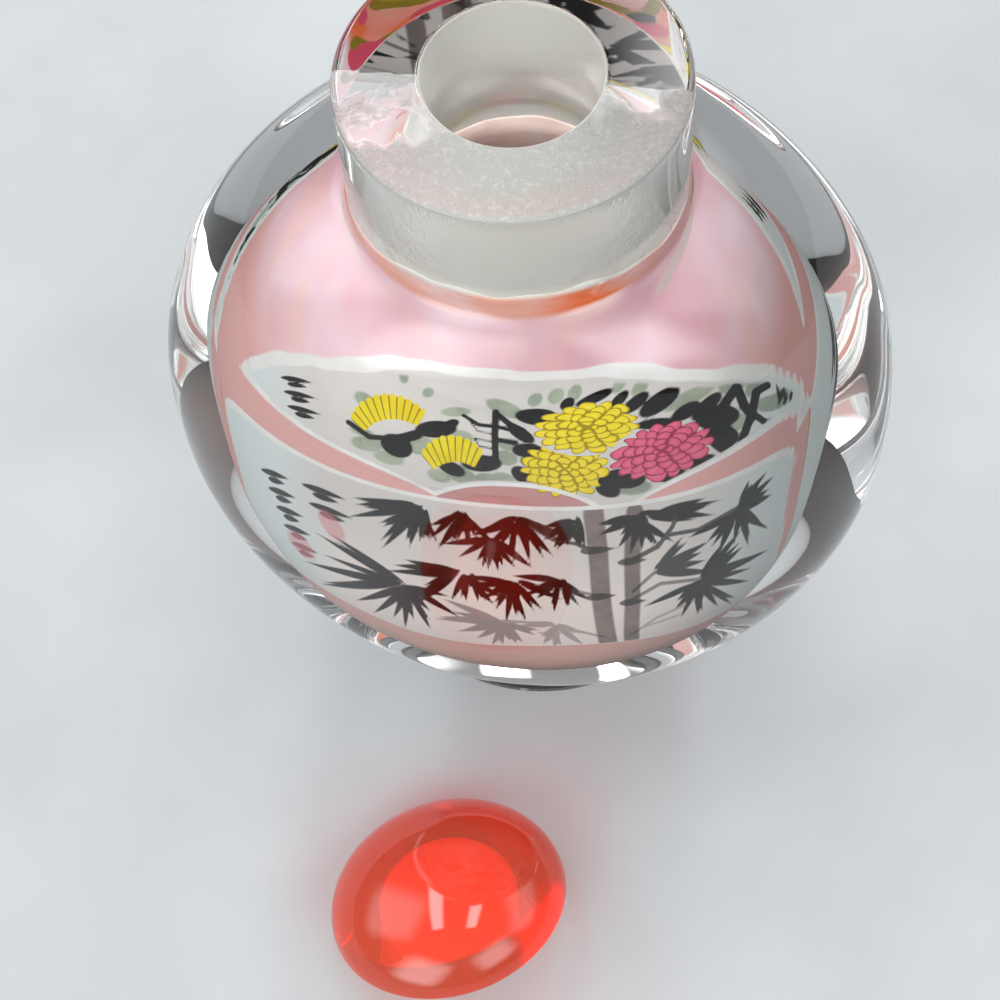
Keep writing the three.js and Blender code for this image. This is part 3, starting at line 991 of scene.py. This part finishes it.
def floor_material():
    tree = Tree("pale_floor")
    tone = tree.ramp(tree.noise(60, 3), 0.3, 0.7)
    colour = tree.mix(tone, "#a6a9aa", "#acafb0")
    tree.set(Base_Color=colour, Roughness=0.8, Specular_IOR_Level=0.2)
    return tree.owner


# ---- The stopper -------------------------------------------------------------
def resting_height():
    """How far the tilted stopper's middle is above the surface."""
    reach = (DOME_RADIUS - DOME_ROUNDING) * math.sin(STOPPER_TILT)
    return reach + DOME_ROUNDING * (1 - math.cos(STOPPER_TILT))


def plug_end_depth():
    """Depth of the plug's round end, so that the plug touches the surface with the dome."""
    end = resting_height() - (GLUE_GAP + PLUG_STRAIGHT) * math.cos(STOPPER_TILT)
    across = PLUG_RADIUS * math.sin(STOPPER_TILT)
    return math.sqrt(end ** 2 - across ** 2) / math.cos(STOPPER_TILT)


def lay_down(piece):
    """Puts a piece that was made upright at the middle of the dome's underside where the stopper lies."""
    place = Matrix.Translation(Vector((*STOPPER_PLACE, resting_height())) * MM)
    turn = Matrix.Rotation(STOPPER_LEAN, 4, "Z") @ Matrix.Rotation(STOPPER_TILT, 4, "Y")
    piece.data.transform(place @ turn)
    piece.data.update()


def make_dome():
    angles = np.arange(DOME_COLUMNS) * FULL_TURN / DOME_COLUMNS
    underside = [(share * (DOME_RADIUS - DOME_ROUNDING), 0) for share in (0.25, 0.5, 0.75, 0.96)]
    edge = arc(DOME_RADIUS - DOME_ROUNDING, DOME_ROUNDING, DOME_ROUNDING, -90, 0)
    turns = np.radians(np.linspace(0, 90, 41))[1:-1]
    crown = DOME_HEIGHT - DOME_ROUNDING
    curve = [(DOME_RADIUS * math.cos(turn), DOME_ROUNDING + crown * math.sin(turn)) for turn in turns]
    rings = round_rings(underside + edge + curve, angles)
    dome = closed_loft("stopper_glass", rings, (0, 0, 0), (0, 0, DOME_HEIGHT))
    dome.data.materials.append(red_glass())
    lay_down(dome)
    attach(dome, "root")
    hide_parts("stopper_dome")
    return dome


def make_plug():
    angles = np.arange(PLUG_COLUMNS) * FULL_TURN / PLUG_COLUMNS
    depth = plug_end_depth()
    straight = -GLUE_GAP - PLUG_STRAIGHT
    turns = np.radians(np.linspace(0, 90, 19))[1:]
    end = [(PLUG_RADIUS * math.sin(turn), straight - depth * math.cos(turn)) for turn in turns]
    side = [(PLUG_RADIUS, straight + 0.5), (PLUG_RADIUS, -GLUE_GAP - 0.15)]
    top = [(PLUG_RADIUS - 0.05, -GLUE_GAP - 0.04), (PLUG_RADIUS - 0.2, -GLUE_GAP), (2.0, -GLUE_GAP)]
    rings = round_rings(end + side + top, angles)
    side_rows = len(end) + 1
    plug = closed_loft(
        "stopper_cork", rings, (0, 0, straight - depth), (0, 0, -GLUE_GAP),
        lambda row: 1 if row >= side_rows else 0)
    plug.data.materials.append(cork())
    plug.data.materials.append(pale_glue())
    lay_down(plug)
    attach(plug, "root")
    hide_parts("stopper_plug")
    return plug


# ---- Stage -------------------------------------------------------------------
FLOOR_SIZE = 8000


def make_floor():
    half = FLOOR_SIZE / 2 * MM
    mesh = bpy.data.meshes.new("floor")
    corners = [(-half, -half, 0), (half, -half, 0), (half, half, 0), (-half, half, 0)]
    mesh.from_pydata(corners, [], [(0, 1, 2, 3)])
    mesh.materials.append(floor_material())
    floor = new_object("floor", mesh)


CAMERA_PLACE = (12.32, -82.05, 161.08)
CAMERA_TARGET = (-1.02, -10.14, 30.12)
CAMERA_ROLL = math.radians(-4.92)
CAMERA_LENS = 77.25
SENSOR = 36.0


def make_camera():
    camera = bpy.data.cameras.new("camera")
    camera.lens, camera.sensor_width = CAMERA_LENS, SENSOR
    camera.clip_start, camera.clip_end = 0.01, 10
    made = new_object("camera", camera)
    place, target = Vector(CAMERA_PLACE) * MM, Vector(CAMERA_TARGET) * MM
    aim = (target - place).to_track_quat("-Z", "Y").to_matrix().to_4x4()
    made.matrix_world = Matrix.Translation(place) @ aim @ Matrix.Rotation(CAMERA_ROLL, 4, "Z")
    bpy.context.scene.camera = made


# Soft lights of the studio, far away: direction of the middle, direction of the length, half-sizes as
# slopes, softness of the edge as a slope, brightness.
LIGHTS = (
    ((-0.764, 0.233, 0.602), (0, 0, 1), (0.30, 0.34), 0.14, 3.0),
    ((0.65, 0.406, 0.643), (0, 0, 1), (0.50, 0.24), 0.14, 2.4),
    ((-0.40, -0.78, 0.48), (0, 0, 1), (0.34, 0.40), 0.18, 6.6),
    ((0.60, -0.50, 0.62), (0, 0, 1), (0.28, 0.30), 0.16, 5.6),
    ((-0.37, 0.42, 0.83), (-0.25, 0.97, 0), (0.065, 0.40), 0.03, 10.0),
    ((0.05, 0.45, 0.89), (-0.05, 1, 0), (0.065, 0.42), 0.03, 10.0),
)
SURROUNDINGS = 0.32


def make_lights():
    """A dim studio all round with soft windows and two long strips in it, by direction alone."""
    tree = Tree("studio", of_world=True)
    toward = tree.add("ShaderNodeTexCoord").outputs["Generated"]
    light = SURROUNDINGS
    for window in LIGHTS:
        light = tree.math("ADD", light, soft_window(tree, toward, *window))
    tree.set(Color="#f3f4f6", Strength=light)
    tree.owner.cycles.sampling_method = "MANUAL"
    tree.owner.cycles.sample_map_resolution = 512
    bpy.context.scene.world = tree.owner


def soft_window(tree, toward, middle, length, half_sizes, softness, brightness):
    """Brightness of one window in each direction, with soft edges."""
    ahead = Vector(middle).normalized()
    side = Vector(length).cross(ahead).normalized()
    along = ahead.cross(side)
    depth = tree.vector("DOT_PRODUCT", toward, tuple(ahead))
    shown = tree.times(tree.math("GREATER_THAN", depth, 0.05), brightness)
    for axis, half in ((side, half_sizes[0]), (along, half_sizes[1])):
        across = tree.vector("DOT_PRODUCT", toward, tuple(axis))
        reach = tree.math("ABSOLUTE", tree.math("DIVIDE", across, depth))
        shown = tree.times(shown, tree.ramp(reach, half + softness, half - softness))
    return shown


def set_quality():
    scene = bpy.context.scene
    scene.view_settings.view_transform = "Standard"
    scene.cycles.caustics_reflective = False
    scene.cycles.caustics_refractive = False
    scene.cycles.max_bounces = 16
    scene.cycles.transmission_bounces = 16
    scene.cycles.glossy_bounces = 8
    scene.cycles.use_denoising = True
    scene.cycles.adaptive_threshold = 0.03


make_bottle()
make_lining()
make_dome()
make_plug()
make_floor()
make_camera()
make_lights()
set_quality()
